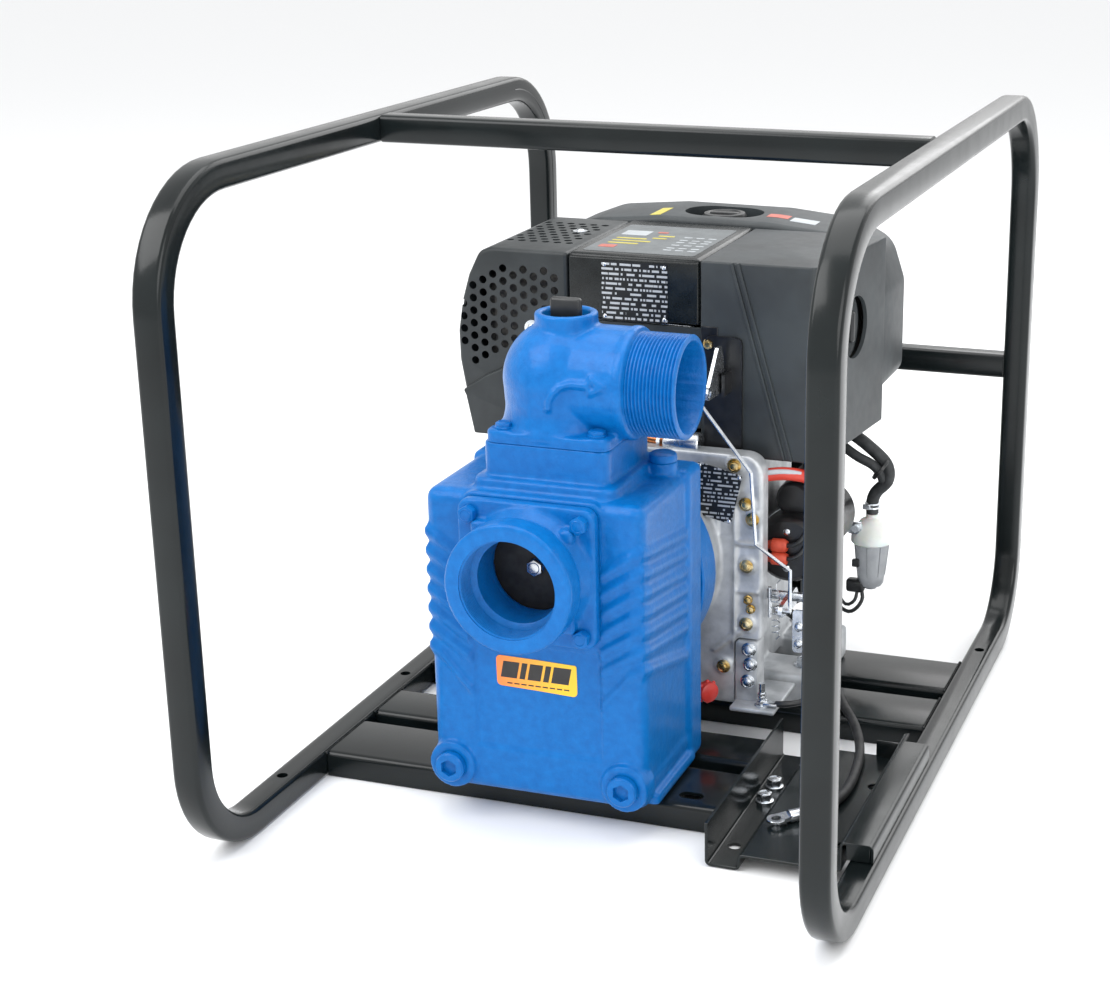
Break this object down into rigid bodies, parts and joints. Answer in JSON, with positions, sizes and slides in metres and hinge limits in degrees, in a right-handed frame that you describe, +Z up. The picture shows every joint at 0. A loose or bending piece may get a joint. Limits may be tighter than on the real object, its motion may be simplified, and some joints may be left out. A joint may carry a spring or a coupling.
{
  "type": "engine-driven trash pump",
  "caption": "Self-priming trash pump with its single-cylinder engine, carried in a welded frame of two square-tube hoops with crossbars and a battery tray.",
  "frame": {"origin": "on the ground under the middle of the carrying frame", "axes": "+Z up, +Y from the pump towards the fuel tank, along the crankshaft, +X towards the discharge outlet"},
  "size_m": [0.56, 0.8, 0.584],
  "materials": {
    "frame_paint": "gloss black powder coat",
    "pump_paint": "semi-gloss blue paint over rough cast iron",
    "iron": "as cast",
    "machined_steel": "machined",
    "zinc_plate": "bright zinc plate",
    "rubber": "matte black",
    "gasket": "pressed fibre",
    "seal": "carbon and ceramic faces",
    "casting": "die cast, satin",
    "cowl_plastic": "fine moulded grain",
    "guard_paint": "satin heat-proof black",
    "black_trim": "black enamel or moulding",
    "filter_plastic": "milky see-through",
    "filter_paper": "pleated paper",
    "red_plastic": "moulded red"
  },
  "bodies": {
    "chassis": {"left_hoop": "frame_paint", "right_hoop": "frame_paint", "top_crossbar": "frame_paint", "rear_crossbar": "frame_paint", "front_pump_rail": "frame_paint", "rear_pump_rail": "frame_paint", "front_engine_rail": "frame_paint", "rear_engine_rail": "frame_paint", "battery_tray": "frame_paint", "pump_casing": "pump_paint", "suction_flange": "pump_paint", "discharge_elbow": "pump_paint", "pump_adapter": "pump_paint", "port_plug": "pump_paint", "volute": "iron", "cylinder": "iron", "muffler": "iron", "wear_plate": "machined_steel", "front_bearing": "machined_steel", "rear_bearing": "machined_steel", "injector": "machined_steel", "cable_lug": "machined_steel", "control_bracket": "zinc_plate", "battery_cable": "rubber", "filter_hose": "rubber", "suction_gasket": "gasket", "elbow_gasket": "gasket", "mechanical_seal": "seal", "crankcase": "casting", "gear_cover": "casting", "cylinder_head": "casting", "piston": "casting", "injection_pump": "casting", "air_duct_cover": "cowl_plastic", "air_cleaner_housing": "cowl_plastic", "air_cleaner_lid": "cowl_plastic", "fuel_tank": "cowl_plastic", "fan_housing": "cowl_plastic", "muffler_guard": "guard_paint", "rocker_cover": "black_trim", "starter_motor": "black_trim", "tank_spigot": "black_trim", "fuel_filter": "filter_plastic", "air_filter_element": "filter_paper"},
    "crank": {"crankshaft": "machined_steel", "flywheel": "iron", "impeller": "iron"},
    "cam": {"camshaft": "machined_steel"},
    "check_flap": {"flapper": "rubber", "flapper_weight": "machined_steel"},
    "filling_plug": {"fill_plug": "black_trim"},
    "left_drain": {"drain_plug_left": "pump_paint"},
    "right_drain": {"drain_plug_right": "pump_paint"},
    "tank_cap": {"fuel_cap": "black_trim"},
    "cleaner_knob": {"air_cleaner_knob": "black_trim"},
    "dipstick": {"oil_dipstick": "red_plastic"},
    "governor_arm": {"speed_lever": "zinc_plate"},
    "link_rod": {"control_rod": "zinc_plate"},
    "hand_control": {"hand_lever": "zinc_plate"}
  },
  "joints": [
    {"name": "crank_spin", "type": "hinge", "parent": "chassis", "child": "crank", "pos_m": [-0.03, 0, 0.186], "axis": [0, 1, 0], "continuous": true},
    {"name": "cam_spin", "type": "hinge", "parent": "chassis", "child": "cam", "pos_m": [0.024, 0, 0.148], "axis": [0, 1, 0], "continuous": true},
    {"name": "flap_swing", "type": "hinge", "parent": "chassis", "child": "check_flap", "pos_m": [-0.0305, -0.2103, 0.286], "axis": [1, 0, 0], "range_deg": [0, 55]},
    {"name": "fill_plug_lift", "type": "slide", "parent": "chassis", "child": "filling_plug", "axis": [0, 0, 1], "range_m": [0, 0.045]},
    {"name": "left_drain_pull", "type": "slide", "parent": "chassis", "child": "left_drain", "axis": [0, -1, 0], "range_m": [0, 0.03]},
    {"name": "right_drain_pull", "type": "slide", "parent": "chassis", "child": "right_drain", "axis": [0, -1, 0], "range_m": [0, 0.03]},
    {"name": "fuel_cap_lift", "type": "slide", "parent": "chassis", "child": "tank_cap", "axis": [0, 0, 1], "range_m": [0, 0.04]},
    {"name": "cleaner_knob_turn", "type": "hinge", "parent": "chassis", "child": "cleaner_knob", "pos_m": [0.1523, 0.108, 0.388], "axis": [1, 0, 0], "continuous": true},
    {"name": "dipstick_pull", "type": "slide", "parent": "chassis", "child": "dipstick", "axis": [0.8, -0.6, 0], "range_m": [0, 0.105]},
    {"name": "speed_lever_swing", "type": "hinge", "parent": "chassis", "child": "governor_arm", "pos_m": [0.129, 0.018, 0.148], "axis": [1, 0, 0], "range_deg": [-18, 18]},
    {"name": "rod_pivot", "type": "hinge", "parent": "governor_arm", "child": "link_rod", "pos_m": [0.129, -0.022, 0.148], "axis": [1, 0, 0], "range_deg": [-18, 18]},
    {"name": "hand_lever_swing", "type": "hinge", "parent": "chassis", "child": "hand_control", "pos_m": [0.062, 0.008, 0.351], "axis": [1, 0, 0], "range_deg": [-18, 18]}
  ],
  "couplings": [
    {"joint": "cam_spin", "follows": "crank_spin", "ratio": -0.5},
    {"joint": "rod_pivot", "follows": "speed_lever_swing", "ratio": -1},
    {"joint": "hand_lever_swing", "follows": "speed_lever_swing", "ratio": 1}
  ]
}
